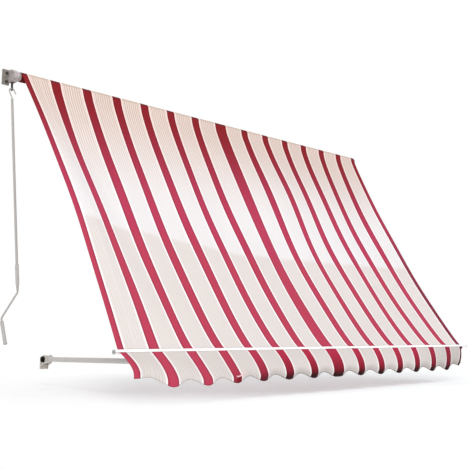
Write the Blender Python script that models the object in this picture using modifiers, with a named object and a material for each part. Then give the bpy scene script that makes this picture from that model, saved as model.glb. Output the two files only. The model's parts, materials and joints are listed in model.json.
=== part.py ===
"""Crank-driven drop-arm awning, in metres.

The wall is the plane Y = 0 and the awning stands out towards -Y. X runs along the wall, from the
gear end to the idle end, and Z is up. The origin lies on the back of the gear's wall plate, level
with the roller's axis.
"""

import math

import bmesh
import bpy
from mathutils import Matrix, Vector

# Clearance between pieces that touch, and between turning ones
GAP = 0.0003
RUNNING_GAP = 0.0006

# Fabric
FABRIC_LEFT = 0.046
FABRIC_WIDTH = 2.38
REPEATS = 14
CLOTH = 0.0010
CANOPY_INSET_LEFT = 0.015
CANOPY_INSET_RIGHT = 0.041
CANOPY_WAIST_LEFT = 0.027
CANOPY_WAIST_RIGHT = 0.080
CANOPY_SAG = 0.058
CANOPY_SAG_LOSS = 0.031
CANOPY_RIDGE = 0.028
CANOPY_RIPPLE = 0.0035
CANOPY_LAP = math.radians(14.0)
VALANCE_REACH = 0.098
VALANCE_LEAST_REACH = 0.006
VALANCE_DROP = 0.127
VALANCE_SCALLOP = 0.18
VALANCE_WAVE = 0.007
VALANCE_LIP = 0.0030
VALANCE_SHRINK = 0.18
VALANCE_ROWS = 5
CANOPY_ROWS = 14

# Roller
ROLLER_OUT = 0.040
ROLL_BUILD_UP = 0.0025
TUBE_RADIUS = 0.0195
TUBE_WALL = 0.0015
TUBE_OVERHANG = 0.0035
PLUG_FLANGE = 0.0025
PLUG_DEPTH = 0.028

# Arms, front bar and their pivots
ARM_X = 0.257
ARM_PIVOT_OUT = 0.025
ARM_PIVOT_DROP = 1.235
ARM_LENGTH = 0.790
ARM_TILT = math.radians(2.15)
ARM_RADIUS = 0.0105
ARM_WALL = 0.0015
ARM_EYE_RADIUS = 0.0175
ARM_EYE_WIDTH = 0.0270
ARM_EYE_CHAMFER = 0.0015
ARM_SOCKET = 0.022
TONGUE_WIDTH = 0.0090
TONGUE_RADIUS = 0.0095
TONGUE_SOCKET = 0.030
TONGUE_COLLAR = 0.006
FITTING_DEPTH = 0.035
BAR_FORWARD = 0.023
BAR_RISE = 0.040
BAR_RADIUS = 0.0085
BAR_OVERHANG = 0.0015
BAR_BORE = 0.0022
BAR_CAP = 0.005
BAR_CAP_STEM = 0.012
BAR_CAP_CHAMFER = 0.001
WELT_RADIUS = 0.0018
WELT_DEPTH = 0.0058
GROOVE_MOUTH = 0.0020
VALANCE_ANGLE = math.radians(-8.0)

# Bar brackets
SADDLE_WALL = 0.0030
SADDLE_WIDTH = 0.024
SADDLE_SCREW = 0.0015
SADDLE_SCREW_ANGLE = math.radians(168.0)
SADDLE_SCREW_DEPTH = 0.0049
SADDLE_SCREW_HEAD = 0.0030
SADDLE_SCREW_HEAD_HEIGHT = 0.0018
SADDLE_FRONT = 0.005
LUG_RADIUS = 0.0100
PIN_RADIUS = 0.0030
PIN_HEAD_RADIUS = 0.0048
PIN_HEAD = 0.0020

# Wall brackets of the arms
ARM_PLATE_WIDTH = 0.0415
ARM_PLATE_BELOW = 0.044
ARM_PLATE_ABOVE = 0.012
ARM_PLATE = 0.0035
ARM_PLATE_HOLE = 0.0026
ARM_PLATE_HOLE_SPREAD = 0.0275
ARM_PLATE_HOLE_UP = 0.006
EAR_RADIUS = 0.0190
EAR = 0.0040
EAR_INSET = 0.012
BOLT_RADIUS = 0.0040
BOLT_END = 0.0035
PIVOT_CAP_RADIUS = 0.0130
PIVOT_CAP = 0.0085

# Wall plate of the gear
PLATE_WIDTH = 0.034
PLATE_ABOVE = 0.032
PLATE_BELOW = 0.038
PLATE = 0.0040
PLATE_CORNER = 0.003
PLATE_HOLE = 0.0034
PLATE_HOLE_X = 0.0035
PLATE_HOLE_UP = 0.016
PLATE_HOLE_DOWN = 0.020

# Worm gear: a wheel on the roller's axis and a two-start worm between it and the wall
GEAR_X = 0.0240
MODULE = 0.002
WHEEL_TEETH = 14
WORM_STARTS = 2
WORM_PITCH_RADIUS = 0.008
TOOTH_HEIGHT = 0.0015
TOOTH_ROOT = 0.0020
TOOTH_HALF = 0.0011
TOOTH_FLARE = 0.00045
WHEEL_FACE = 0.008
WORM_HALF_LENGTH = 0.0135
HUB_RADIUS = 0.0080
HUB_JOURNAL_RADIUS = 0.0050
SPIGOT = 0.0090
SPIGOT_LENGTH = 0.012
WORM_TOP_LENGTH = 0.0075
WORM_TOP_RADIUS = 0.0040
WORM_SHAFT_RADIUS = 0.0050
EYE_DROP = 0.053
EYE_BORE = 0.0058
EYE_WIRE = 0.0024

# Gear housing
HOUSING_LEFT_WALL = 0.0060
HOUSING_LEFT_SKIN = 0.0027
HOUSING_RIGHT_ROOM = 0.0015
HOUSING_RIM = 0.0050
HOUSING_ABOVE = 0.0300
HOUSING_BELOW = 0.0240
WHEEL_ROOM = 0.0010
WORM_ROOM = 0.0004
COVER = 0.0025
COVER_SCREW = 0.00115
COVER_SCREW_HEAD = 0.0021
COVER_SCREW_HEAD_HEIGHT = 0.0010
COVER_SCREW_DEPTH = 0.0060
BUSH_LIP = 0.0020
MOUNT_SCREW = 0.0019
MOUNT_SCREW_HEAD = 0.0036
MOUNT_SCREW_REACH = 0.0028
MOUNT_SCREW_EDGE = 0.0045
MOUNT_SCREW_BELOW_WORM = 0.0060

# Idle bracket at the other end
IDLE_PIN_RADIUS = 0.0060
IDLE_PIN_LENGTH = 0.0150
IDLE_BRACKET_GAP = 0.0035
IDLE_FLANGE = 0.0040
IDLE_RADIUS = 0.0160
IDLE_PLATE_WIDTH = 0.032
IDLE_BUSH_WALL = 0.0030
IDLE_BUSH_LIP = 0.0012
IDLE_BUSH_FLANGE = 0.0020
IDLE_HOLE_ACROSS = 0.6

# Crank, which hangs from the eye and leans a little towards the idle end
CRANK_LEAN = math.radians(5.0)
HOOK_WIRE = 0.0028
HOOK_HALF_SPAN = 0.0110
HOOK_TIP_OUT = 0.009
HOOK_TIP_DROP = 0.019
HOOK_SIDE_DROP = 0.010
HOOK_BEND = 0.006
FERRULE = 0.008
CRANK_ROD_START = 0.050
CRANK_ROD_END = 0.880
CRANK_ROD_RADIUS = 0.0055
CRANK_ROD_WALL = 0.0012
CRANK_SHANK = 0.030
CRANK_HANDLE_WIRE = 0.0042
CRANK_BEND_START = 0.892
CRANK_BEND_END = 1.000
CRANK_THROW = 0.080
CRANK_BEND = 0.018
UPPER_GRIP_START = 0.772
UPPER_GRIP_LENGTH = 0.088
LOWER_GRIP_START = 1.014
LOWER_GRIP_LENGTH = 0.094
LOWER_GRIP_SLANT = math.radians(8.0)
GRIP_RADIUS = 0.0080
GRIP_CAP = 0.0040
GRIP_CAP_CHAMFER = 0.0012

# How finely round shapes are drawn
ROUND_STEPS = 16
LARGE_STEPS = 24
CRANK_STEPS = 20
HOLE_STEPS = 12
OVERSHOOT = 0.002


def new_collections():
    """Empty the scene and make one collection for the parts and one for the cutters."""
    for old in list(bpy.data.objects):
        bpy.data.objects.remove(old, do_unlink=True)
    parts = bpy.data.collections.new("fabric_awning")
    cutters = bpy.data.collections.new("cutters")
    bpy.context.scene.collection.children.link(parts)
    bpy.context.scene.collection.children.link(cutters)
    return parts, cutters


PARTS, CUTTERS = new_collections()


def make_material(name, colour, roughness, metallic):
    paint = bpy.data.materials.new(name)
    paint.use_nodes = True
    shader = paint.node_tree.nodes["Principled BSDF"]
    shader.inputs["Base Color"].default_value = (*colour, 1.0)
    shader.inputs["Roughness"].default_value = roughness
    shader.inputs["Metallic"].default_value = metallic
    return paint


DARK_STEEL = make_material("dark_steel", (0.16, 0.16, 0.155), 0.5, 0.6)
CAST_ZINC = make_material("cast_zinc", (0.52, 0.50, 0.48), 0.45, 0.5)
BLACK_STEEL = make_material("black_steel", (0.03, 0.03, 0.035), 0.4, 0.7)
BRIGHT_STEEL = make_material("bright_steel", (0.60, 0.60, 0.60), 0.3, 0.9)
BRONZE = make_material("bronze", (0.45, 0.30, 0.13), 0.4, 0.9)
GREY_PAINT = make_material("grey_paint", (0.50, 0.48, 0.46), 0.4, 0.1)
WHITE_PAINT = make_material("white_paint", (0.86, 0.86, 0.84), 0.35, 0.0)
BLACK_PLASTIC = make_material("black_plastic", (0.01, 0.01, 0.01), 0.45, 0.0)
GREY_PLASTIC = make_material("grey_plastic", (0.33, 0.33, 0.33), 0.5, 0.0)
RED_STRIPED_CLOTH = make_material("striped_cloth", (0.75, 0.45, 0.42), 0.9, 0.0)
WELT_CORD = make_material("welt_cord", (0.80, 0.80, 0.78), 0.6, 0.0)


def axis_mark(name, location):
    """An empty on a joint's axis, which carries the pieces that turn about it."""
    mark = bpy.data.objects.new(name, None)
    mark.location = location
    mark.empty_display_size = 0.03
    PARTS.objects.link(mark)
    return mark


def new_object(name, mesh, paint, carrier):
    """A part in its own material; without a material it is a cutter or a piece to be joined on."""
    obj = bpy.data.objects.new(name, mesh)
    if paint is None:
        CUTTERS.objects.link(obj)
        obj.hide_render = True
        obj.display_type = "WIRE"
        return obj
    PARTS.objects.link(obj)
    mesh.materials.append(paint)
    if carrier is not None:
        obj.parent = carrier
        obj.matrix_parent_inverse = Matrix.Translation(carrier.location).inverted()
    return obj


def from_bmesh(name, shape, paint=None, carrier=None, smooth=True):
    bmesh.ops.recalc_face_normals(shape, faces=shape.faces)
    mesh = bpy.data.meshes.new(name)
    shape.to_mesh(mesh)
    shape.free()
    if smooth:
        mesh.shade_smooth()
        mesh.set_sharp_from_angle(angle=math.radians(35))
    return new_object(name, mesh, paint, carrier)


def turned(name, profile, base, toward, paint=None, carrier=None, closed=False, steps=ROUND_STEPS):
    """Turn a profile of (radius, height) about an axis through base; it runs from top to bottom."""
    points = [(radius, 0.0, height) for radius, height in profile]
    edges = [(i, i + 1) for i in range(len(points) - 1)]
    if closed:
        edges.append((len(points) - 1, 0))
    mesh = bpy.data.meshes.new(name)
    mesh.from_pydata(points, edges, [])
    obj = new_object(name, mesh, paint, carrier)
    obj.location = base
    obj.rotation_euler = Vector(toward).to_track_quat("Z", "Y").to_euler()
    screw = obj.modifiers.new("turn", "SCREW")
    screw.axis = "Z"
    screw.steps = steps
    screw.render_steps = steps
    screw.use_merge_vertices = True
    screw.merge_threshold = 0.00001
    screw.use_smooth_shade = True
    return obj


def rod(name, radius, start, end, paint=None, carrier=None, chamfer=0.0, steps=ROUND_STEPS):
    """A round bar from start to end, with chamfered edges."""
    along = Vector(end) - Vector(start)
    length = along.length
    if chamfer > 0.0:
        profile = [(0.0, length), (radius - chamfer, length), (radius, length - chamfer),
                   (radius, chamfer), (radius - chamfer, 0.0), (0.0, 0.0)]
    else:
        profile = [(0.0, length), (radius, length), (radius, 0.0), (0.0, 0.0)]
    return turned(name, profile, start, along, paint, carrier, steps=steps)


def tube(name, outer, inner, start, end, paint=None, carrier=None, steps=ROUND_STEPS):
    """A round tube from start to end."""
    along = Vector(end) - Vector(start)
    length = along.length
    profile = [(outer, length), (outer, 0.0), (inner, 0.0), (inner, length)]
    return turned(name, profile, start, along, paint, carrier, closed=True, steps=steps)


def screw(name, radius, head, height, length, tip, toward, carrier=None):
    """A small screw from its tip to the underside of its head, and the head with a bevelled edge."""
    bevel = radius / 3
    top = length + height
    profile = [(0.0, top), (head - bevel, top), (head, top - bevel), (head, length),
               (radius, length), (radius, 0.0), (0.0, 0.0)]
    return turned(name, profile, tip, toward, BRIGHT_STEEL, carrier, steps=HOLE_STEPS)


def block(name, low, high, paint=None, carrier=None):
    low, high = Vector(low), Vector(high)
    size = high - low
    shape = bmesh.new()
    place = Matrix.Translation((low + high) / 2) @ Matrix.Diagonal((*size, 1.0))
    bmesh.ops.create_cube(shape, size=1.0, matrix=place)
    return from_bmesh(name, shape, paint, carrier, smooth=False)


def prism(name, outline, low, high, axis, paint=None, carrier=None):
    """An outline drawn across an axis, extruded from low to high: (Y, Z) for X, (X, Z) for Y."""
    shape = bmesh.new()
    if axis == "X":
        points = [(low, a, b) for a, b in outline]
        travel = Vector((high - low, 0.0, 0.0))
    else:
        points = [(a, low, b) for a, b in outline]
        travel = Vector((0.0, high - low, 0.0))
    face = shape.faces.new([shape.verts.new(point) for point in points])
    extruded = bmesh.ops.extrude_face_region(shape, geom=[face])
    moved = [item for item in extruded["geom"] if isinstance(item, bmesh.types.BMVert)]
    bmesh.ops.translate(shape, verts=moved, vec=travel)
    return from_bmesh(name, shape, paint, carrier)


def twisted(name, section, low, high, layers, twist, place, paint=None, carrier=None):
    """A closed section of (radius, angle) lofted along an axis while it turns by twist a metre."""
    shape = bmesh.new()
    rings = []
    for layer in range(layers + 1):
        height = low + (high - low) * layer / layers
        rings.append([shape.verts.new(place(radius, angle + twist * height, height))
                      for radius, angle in section])
    count = len(section)
    for lower, upper in zip(rings, rings[1:]):
        for i in range(count):
            j = (i + 1) % count
            shape.faces.new((lower[i], lower[j], upper[j], upper[i]))
    shape.faces.new(rings[0])
    shape.faces.new(rings[-1])
    return from_bmesh(name, shape, paint, carrier)


def combine(target, tool, operation):
    step = target.modifiers.new(tool.name, "BOOLEAN")
    step.operation = operation
    step.solver = "EXACT"
    step.object = tool


def unite(target, *tools):
    for tool in tools:
        combine(target, tool, "UNION")


def cut(target, *tools):
    for tool in tools:
        combine(target, tool, "DIFFERENCE")


def arc(centre, radius, start, end, steps):
    """Points on a circle, by angles in degrees from the first axis towards the second."""
    points = []
    for i in range(steps + 1):
        angle = math.radians(start + (end - start) * i / steps)
        points.append((centre[0] + radius * math.cos(angle), centre[1] + radius * math.sin(angle)))
    return points


def rounded_plate(low, high, radius):
    """A rectangle from low to high with rounded corners."""
    (left, bottom), (right, top) = low, high
    corners = ((right - radius, top - radius, 0), (left + radius, top - radius, 90),
               (left + radius, bottom + radius, 180), (right - radius, bottom + radius, 270))
    return [point for x, z, turn in corners for point in arc((x, z), radius, turn, turn + 90, 2)]


def tangent_angle(start, centre, radius):
    """The angle at which a line from start touches the outer side of a circle in (Y, Z)."""
    reach = start - centre
    return math.atan2(reach.y, reach.x) - math.acos(radius / reach.length)


def around(centre, radius, angle):
    return centre + radius * Vector((math.cos(angle), math.sin(angle)))


# Places that follow from the sizes above
ROLLER_Y = -ROLLER_OUT
FABRIC_RIGHT = FABRIC_LEFT + FABRIC_WIDTH
MIDDLE_X = FABRIC_LEFT + FABRIC_WIDTH / 2
TUBE_LEFT = FABRIC_LEFT - TUBE_OVERHANG
TUBE_RIGHT = FABRIC_RIGHT + TUBE_OVERHANG
WHEEL_PITCH_RADIUS = MODULE * WHEEL_TEETH / 2
WORM_Y = ROLLER_Y + WHEEL_PITCH_RADIUS + WORM_PITCH_RADIUS
ARM_PIVOT = Vector((ARM_X, -ARM_PIVOT_OUT, -ARM_PIVOT_DROP))
ARM_ALONG = Vector((0.0, -math.cos(ARM_TILT), math.sin(ARM_TILT)))
FRONT_PIVOT = ARM_PIVOT + ARM_LENGTH * ARM_ALONG
BAR_Y = FRONT_PIVOT.y - BAR_FORWARD
BAR_Z = FRONT_PIVOT.z + BAR_RISE
BAR_LEFT = FABRIC_LEFT - BAR_OVERHANG
BAR_RIGHT = FABRIC_RIGHT + BAR_OVERHANG
RIGHT_ARM_SHIFT = Vector((2 * (MIDDLE_X - ARM_X), 0.0, 0.0))
EYE_Z = -EYE_DROP
EYE_RADIUS = EYE_BORE + 2 * EYE_WIRE
HOOK_Z = EYE_Z - EYE_BORE + HOOK_WIRE + RUNNING_GAP

WORM_LEAD = math.pi * MODULE * WORM_STARTS
WHEEL_TIP = WHEEL_PITCH_RADIUS + TOOTH_HEIGHT
WORM_TIP = WORM_PITCH_RADIUS + TOOTH_HEIGHT
WHEEL_CAVITY = WHEEL_TIP + WHEEL_ROOM
WORM_CAVITY = WORM_TIP + WORM_ROOM
HOUSING_LEFT = GEAR_X - WORM_TIP - GAP - HOUSING_LEFT_SKIN
HOUSING_RIGHT = GEAR_X + WORM_TIP + HOUSING_RIGHT_ROOM
HOUSING_NOSE = WHEEL_CAVITY + HOUSING_RIM
HOUSING_BACK = -(PLATE + GAP)
COVER_LEFT = HOUSING_RIGHT + GAP
COVER_RIGHT = COVER_LEFT + COVER
IDLE_BRACKET_LEFT = TUBE_RIGHT + GAP + PLUG_FLANGE + IDLE_BRACKET_GAP

BAR_CENTRE = Vector((BAR_Y, BAR_Z))
ROLLER_CENTRE = Vector((ROLLER_Y, 0.0))
ROLL_RADIUS = TUBE_RADIUS + ROLL_BUILD_UP
CANOPY_LEAVE = ROLL_RADIUS + GAP + CLOTH / 2
CANOPY_TOP_ANGLE = tangent_angle(BAR_CENTRE, ROLLER_CENTRE, CANOPY_LEAVE) + CANOPY_LAP
CANOPY_TOP = around(ROLLER_CENTRE, CANOPY_LEAVE, CANOPY_TOP_ANGLE)
UP_SLOPE = (CANOPY_TOP - BAR_CENTRE).normalized()
GROOVE_OUTER = WELT_DEPTH + WELT_RADIUS + GAP
CANOPY_FOOT = BAR_CENTRE + UP_SLOPE * GROOVE_OUTER
CANOPY_NORMAL = Vector((-UP_SLOPE.y, UP_SLOPE.x))
VALANCE_OUTWARD = Vector((-math.cos(VALANCE_ANGLE), math.sin(VALANCE_ANGLE)))

ROLLER_AXIS = axis_mark("roller_axis", (MIDDLE_X, ROLLER_Y, 0.0))
WORM_AXIS = axis_mark("worm_axis", (GEAR_X, WORM_Y, 0.0))
CRANK_AXIS = axis_mark("crank_axis", (GEAR_X, WORM_Y, HOOK_Z))
LEFT_ARM_AXIS = axis_mark("left_arm_axis", ARM_PIVOT)
RIGHT_ARM_AXIS = axis_mark("right_arm_axis", ARM_PIVOT + RIGHT_ARM_SHIFT)
BAR_AXIS = axis_mark("front_bar_axis", FRONT_PIVOT)


def wheel_place(radius, angle, height):
    """Across the roller's axis, with angles from the wall side upwards."""
    return (GEAR_X + height, ROLLER_Y + radius * math.cos(angle), radius * math.sin(angle))


def worm_place(radius, angle, height):
    return (GEAR_X + radius * math.cos(angle), WORM_Y + radius * math.sin(angle), height)


def build_worm():
    """A right-hand two-start worm with journals, and below it the shaft with the crank's eye."""
    radians_per_metre = 2 * math.pi / WORM_LEAD
    root = WORM_PITCH_RADIUS - TOOTH_ROOT
    tip_half = (TOOTH_HALF - TOOTH_FLARE) * radians_per_metre
    root_half = (TOOTH_HALF + TOOTH_FLARE) * radians_per_metre
    section = []
    for start in range(WORM_STARTS):
        middle = -math.pi / 2 + 2 * math.pi * start / WORM_STARTS
        section += [(root, middle - root_half), (WORM_TIP, middle - tip_half),
                    (WORM_TIP, middle + tip_half), (root, middle + root_half),
                    (root, middle + math.pi / WORM_STARTS)]
    worm = twisted("worm_shaft", section, -WORM_HALF_LENGTH, WORM_HALF_LENGTH, 36,
                   radians_per_metre, worm_place, BLACK_STEEL, WORM_AXIS)
    top = WORM_HALF_LENGTH + WORM_TOP_LENGTH
    shaft_end = EYE_Z + EYE_RADIUS - EYE_WIRE
    core = turned("worm_core", [(0.0, top), (WORM_TOP_RADIUS, top), (WORM_TOP_RADIUS, 0.0),
                                (WORM_SHAFT_RADIUS, 0.0),
                                (WORM_SHAFT_RADIUS, shaft_end + WORM_SHAFT_RADIUS - EYE_WIRE),
                                (EYE_WIRE, shaft_end), (0.0, shaft_end)],
                  (GEAR_X, WORM_Y, 0.0), (0, 0, 1))
    ring = arc((EYE_BORE + EYE_WIRE, 0.0), EYE_WIRE, 360, 40, 8)
    eye = turned("worm_eye", ring, (GEAR_X, WORM_Y, EYE_Z), (1, 0, 0), closed=True, steps=LARGE_STEPS)
    unite(worm, core, eye)


def build_wheel():
    """The worm wheel with its hubs and the square spigot that turns the roller."""
    pitch_angle = 2 * math.pi / WHEEL_TEETH
    root = WHEEL_PITCH_RADIUS - TOOTH_ROOT
    tip_half = (TOOTH_HALF - TOOTH_FLARE) / WHEEL_PITCH_RADIUS
    root_half = (TOOTH_HALF + TOOTH_FLARE) / WHEEL_PITCH_RADIUS
    section = []
    for tooth in range(WHEEL_TEETH):
        middle = (tooth + 0.5) * pitch_angle
        section += [(root, middle - root_half), (WHEEL_TIP, middle - tip_half),
                    (WHEEL_TIP, middle + tip_half), (root, middle + root_half)]
    helix = WORM_LEAD / (2 * math.pi * WORM_PITCH_RADIUS * WHEEL_PITCH_RADIUS)
    wheel = twisted("worm_wheel", section, -WHEEL_FACE / 2, WHEEL_FACE / 2, 2, helix,
                    wheel_place, BRONZE, ROLLER_AXIS)
    left = HOUSING_LEFT + HOUSING_LEFT_WALL / 2
    right = COVER_RIGHT + GAP
    hub = turned("wheel_hub", [(0.0, right - left), (HUB_RADIUS, right - left),
                               (HUB_RADIUS, GEAR_X - left), (HUB_JOURNAL_RADIUS, GEAR_X - left),
                               (HUB_JOURNAL_RADIUS, 0.0), (0.0, 0.0)],
                 (left, ROLLER_Y, 0.0), (1, 0, 0))
    half = SPIGOT / 2
    spigot = block("wheel_spigot", (right - HUB_RADIUS, ROLLER_Y - half, -half),
                   (TUBE_LEFT - PLUG_FLANGE + SPIGOT_LENGTH, ROLLER_Y + half, half))
    unite(wheel, hub, spigot)


def housing_outline():
    """Side view of the housing: square against the wall plate, round about the roller's axis."""
    nose = arc((ROLLER_Y, 0.0), HOUSING_NOSE, 250, 110, 12)
    return [(HOUSING_BACK, HOUSING_ABOVE), (HOUSING_BACK, -HOUSING_BELOW),
            (WORM_Y - WORM_CAVITY, -HOUSING_BELOW), *nose,
            (WORM_Y - WORM_CAVITY - OVERSHOOT, HOUSING_ABOVE)]


def cover_screw_places():
    """Screws in the housing's rim, ahead of the wheel, and one in its upper corner."""
    radius = WHEEL_CAVITY + HOUSING_RIM / 2
    places = []
    for degrees in (135, 225):
        angle = math.radians(degrees)
        places.append((ROLLER_Y + radius * math.cos(angle), radius * math.sin(angle)))
    places.append((HOUSING_BACK - HOUSING_RIM, HOUSING_ABOVE - HOUSING_RIM))
    return places


def mount_screw_heights():
    """Above the worm's top journal and beside its lower bush."""
    return {"upper": HOUSING_ABOVE - MOUNT_SCREW_EDGE,
            "lower": -WORM_HALF_LENGTH - MOUNT_SCREW_BELOW_WORM}


def build_gear_wall_bracket():
    """A flat plate with two wall holes, and a tongue behind the gear that is screwed to it."""
    outline = rounded_plate((-PLATE_WIDTH / 2, -PLATE_BELOW), (PLATE_WIDTH / 2, PLATE_ABOVE),
                            PLATE_CORNER)
    plate = prism("gear_wall_bracket", outline, -PLATE, 0.0, "Y", DARK_STEEL)
    tongue_outline = rounded_plate((0.0, -HOUSING_BELOW), (HOUSING_RIGHT, HOUSING_ABOVE), PLATE_CORNER)
    unite(plate, prism("bracket_tongue", tongue_outline, -PLATE, 0.0, "Y"))
    for height in (PLATE_HOLE_UP, -PLATE_HOLE_DOWN):
        cut(plate, rod("wall_hole", PLATE_HOLE, (PLATE_HOLE_X, -2 * PLATE, height),
                       (PLATE_HOLE_X, PLATE, height)))
    for height in mount_screw_heights().values():
        cut(plate, countersink("bracket_screw_hole", height, GAP))


def countersink(name, height, clearance=0.0, paint=None):
    """A countersunk screw from the back of the plate, or with a clearance the hole it needs."""
    shank, head = MOUNT_SCREW + clearance, MOUNT_SCREW_HEAD + clearance
    tip = PLATE + GAP + MOUNT_SCREW_REACH + clearance
    mouth = -PLATE if paint is None else GAP
    cone = 2 * GAP
    profile = [(0.0, tip), (shank, tip), (shank, cone + head - shank), (head, cone), (head, mouth),
               (0.0, mouth)]
    return turned(name, profile, (GEAR_X, 0.0, height), (0, -1, 0), paint, steps=HOLE_STEPS)


def build_gear_housing():
    """A cast box open on the cover's side, bored for the worm from below."""
    housing = prism("gear_housing", housing_outline(), HOUSING_LEFT, HOUSING_RIGHT, "X", CAST_ZINC)
    wheel_room = rod("wheel_room", WHEEL_CAVITY, (HOUSING_LEFT + HOUSING_LEFT_WALL, ROLLER_Y, 0.0),
                     (HOUSING_RIGHT + OVERSHOOT, ROLLER_Y, 0.0), steps=LARGE_STEPS)
    journal = rod("hub_bearing", HUB_JOURNAL_RADIUS + GAP,
                  (HOUSING_LEFT + HOUSING_LEFT_WALL / 2 - GAP, ROLLER_Y, 0.0),
                  (HOUSING_LEFT + HOUSING_LEFT_WALL + OVERSHOOT, ROLLER_Y, 0.0))
    worm_room = rod("worm_room", WORM_CAVITY, (GEAR_X, WORM_Y, -HOUSING_BELOW - OVERSHOOT),
                    (GEAR_X, WORM_Y, WORM_HALF_LENGTH + RUNNING_GAP), steps=LARGE_STEPS)
    top_bearing = rod("worm_top_bearing", WORM_TOP_RADIUS + GAP, (GEAR_X, WORM_Y, 0.0),
                      (GEAR_X, WORM_Y, WORM_HALF_LENGTH + WORM_TOP_LENGTH + RUNNING_GAP))
    cut(housing, wheel_room, journal, worm_room, top_bearing)
    for y, z in cover_screw_places():
        cut(housing, rod("cover_screw_hole", COVER_SCREW + GAP,
                         (HOUSING_RIGHT - COVER_SCREW_DEPTH - GAP, y, z),
                         (HOUSING_RIGHT + OVERSHOOT, y, z), steps=HOLE_STEPS))
    for height in mount_screw_heights().values():
        cut(housing, countersink("housing_screw_hole", height, GAP))


def build_gear_cover():
    cover = prism("gear_cover", housing_outline(), COVER_LEFT, COVER_RIGHT, "X", CAST_ZINC)
    hub_hole = rod("cover_hub_hole", HUB_RADIUS + GAP, (COVER_LEFT - OVERSHOOT, ROLLER_Y, 0.0),
                   (COVER_RIGHT + OVERSHOOT, ROLLER_Y, 0.0))
    cut(cover, hub_hole)
    length = COVER_SCREW_DEPTH + GAP + COVER + GAP
    for number, (y, z) in enumerate(cover_screw_places(), start=1):
        cut(cover, rod("cover_hole", COVER_SCREW + GAP, (COVER_LEFT - OVERSHOOT, y, z),
                       (COVER_RIGHT + OVERSHOOT, y, z), steps=HOLE_STEPS))
        screw(f"cover_screw_{number}", COVER_SCREW, COVER_SCREW_HEAD, COVER_SCREW_HEAD_HEIGHT, length,
              (HOUSING_RIGHT - COVER_SCREW_DEPTH, y, z), (1, 0, 0))


def build_worm_bush():
    """A flanged bush that closes the bore below the worm."""
    inner = WORM_SHAFT_RADIUS + GAP
    outer = WORM_CAVITY - GAP
    top = -WORM_HALF_LENGTH - RUNNING_GAP
    low = -HOUSING_BELOW - GAP
    foot = low - BUSH_LIP
    profile = [(outer, top), (outer, low), (outer - BUSH_LIP / 2, foot), (inner, foot), (inner, top)]
    turned("worm_bush", profile, (GEAR_X, WORM_Y, 0.0), (0, 0, 1), BRONZE, closed=True)


def build_mount_screws():
    for place, height in mount_screw_heights().items():
        countersink(f"gear_mount_screw_{place}", height, paint=BRIGHT_STEEL)


def build_roller():
    """The tube between its two plugs."""
    tube("roller_tube", TUBE_RADIUS, TUBE_RADIUS - TUBE_WALL, (TUBE_LEFT, ROLLER_Y, 0.0),
         (TUBE_RIGHT, ROLLER_Y, 0.0), BRIGHT_STEEL, ROLLER_AXIS, steps=LARGE_STEPS)
    sleeve = TUBE_RADIUS - TUBE_WALL - GAP
    flange_left = TUBE_LEFT - GAP - PLUG_FLANGE
    profile = [(0.0, PLUG_FLANGE + GAP + PLUG_DEPTH), (sleeve, PLUG_FLANGE + GAP + PLUG_DEPTH),
               (sleeve, PLUG_FLANGE), (TUBE_RADIUS, PLUG_FLANGE), (TUBE_RADIUS, 0.0), (0.0, 0.0)]
    drive = turned("drive_plug", profile, (flange_left, ROLLER_Y, 0.0), (1, 0, 0), GREY_PLASTIC,
                   ROLLER_AXIS, steps=LARGE_STEPS)
    half = SPIGOT / 2 + GAP
    cut(drive, block("spigot_socket", (flange_left - OVERSHOOT, ROLLER_Y - half, -half),
                     (TUBE_LEFT - PLUG_FLANGE + SPIGOT_LENGTH + GAP, ROLLER_Y + half, half)))
    length = PLUG_DEPTH + GAP + PLUG_FLANGE + IDLE_PIN_LENGTH
    profile = [(0.0, length), (IDLE_PIN_RADIUS - RUNNING_GAP, length),
               (IDLE_PIN_RADIUS, length - RUNNING_GAP),
               (IDLE_PIN_RADIUS, length - IDLE_PIN_LENGTH), (TUBE_RADIUS, length - IDLE_PIN_LENGTH),
               (TUBE_RADIUS, PLUG_DEPTH + GAP), (sleeve, PLUG_DEPTH + GAP), (sleeve, 0.0), (0.0, 0.0)]
    turned("idle_plug", profile, (TUBE_RIGHT - PLUG_DEPTH, ROLLER_Y, 0.0), (1, 0, 0), GREY_PLASTIC,
           ROLLER_AXIS, steps=LARGE_STEPS)


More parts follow.
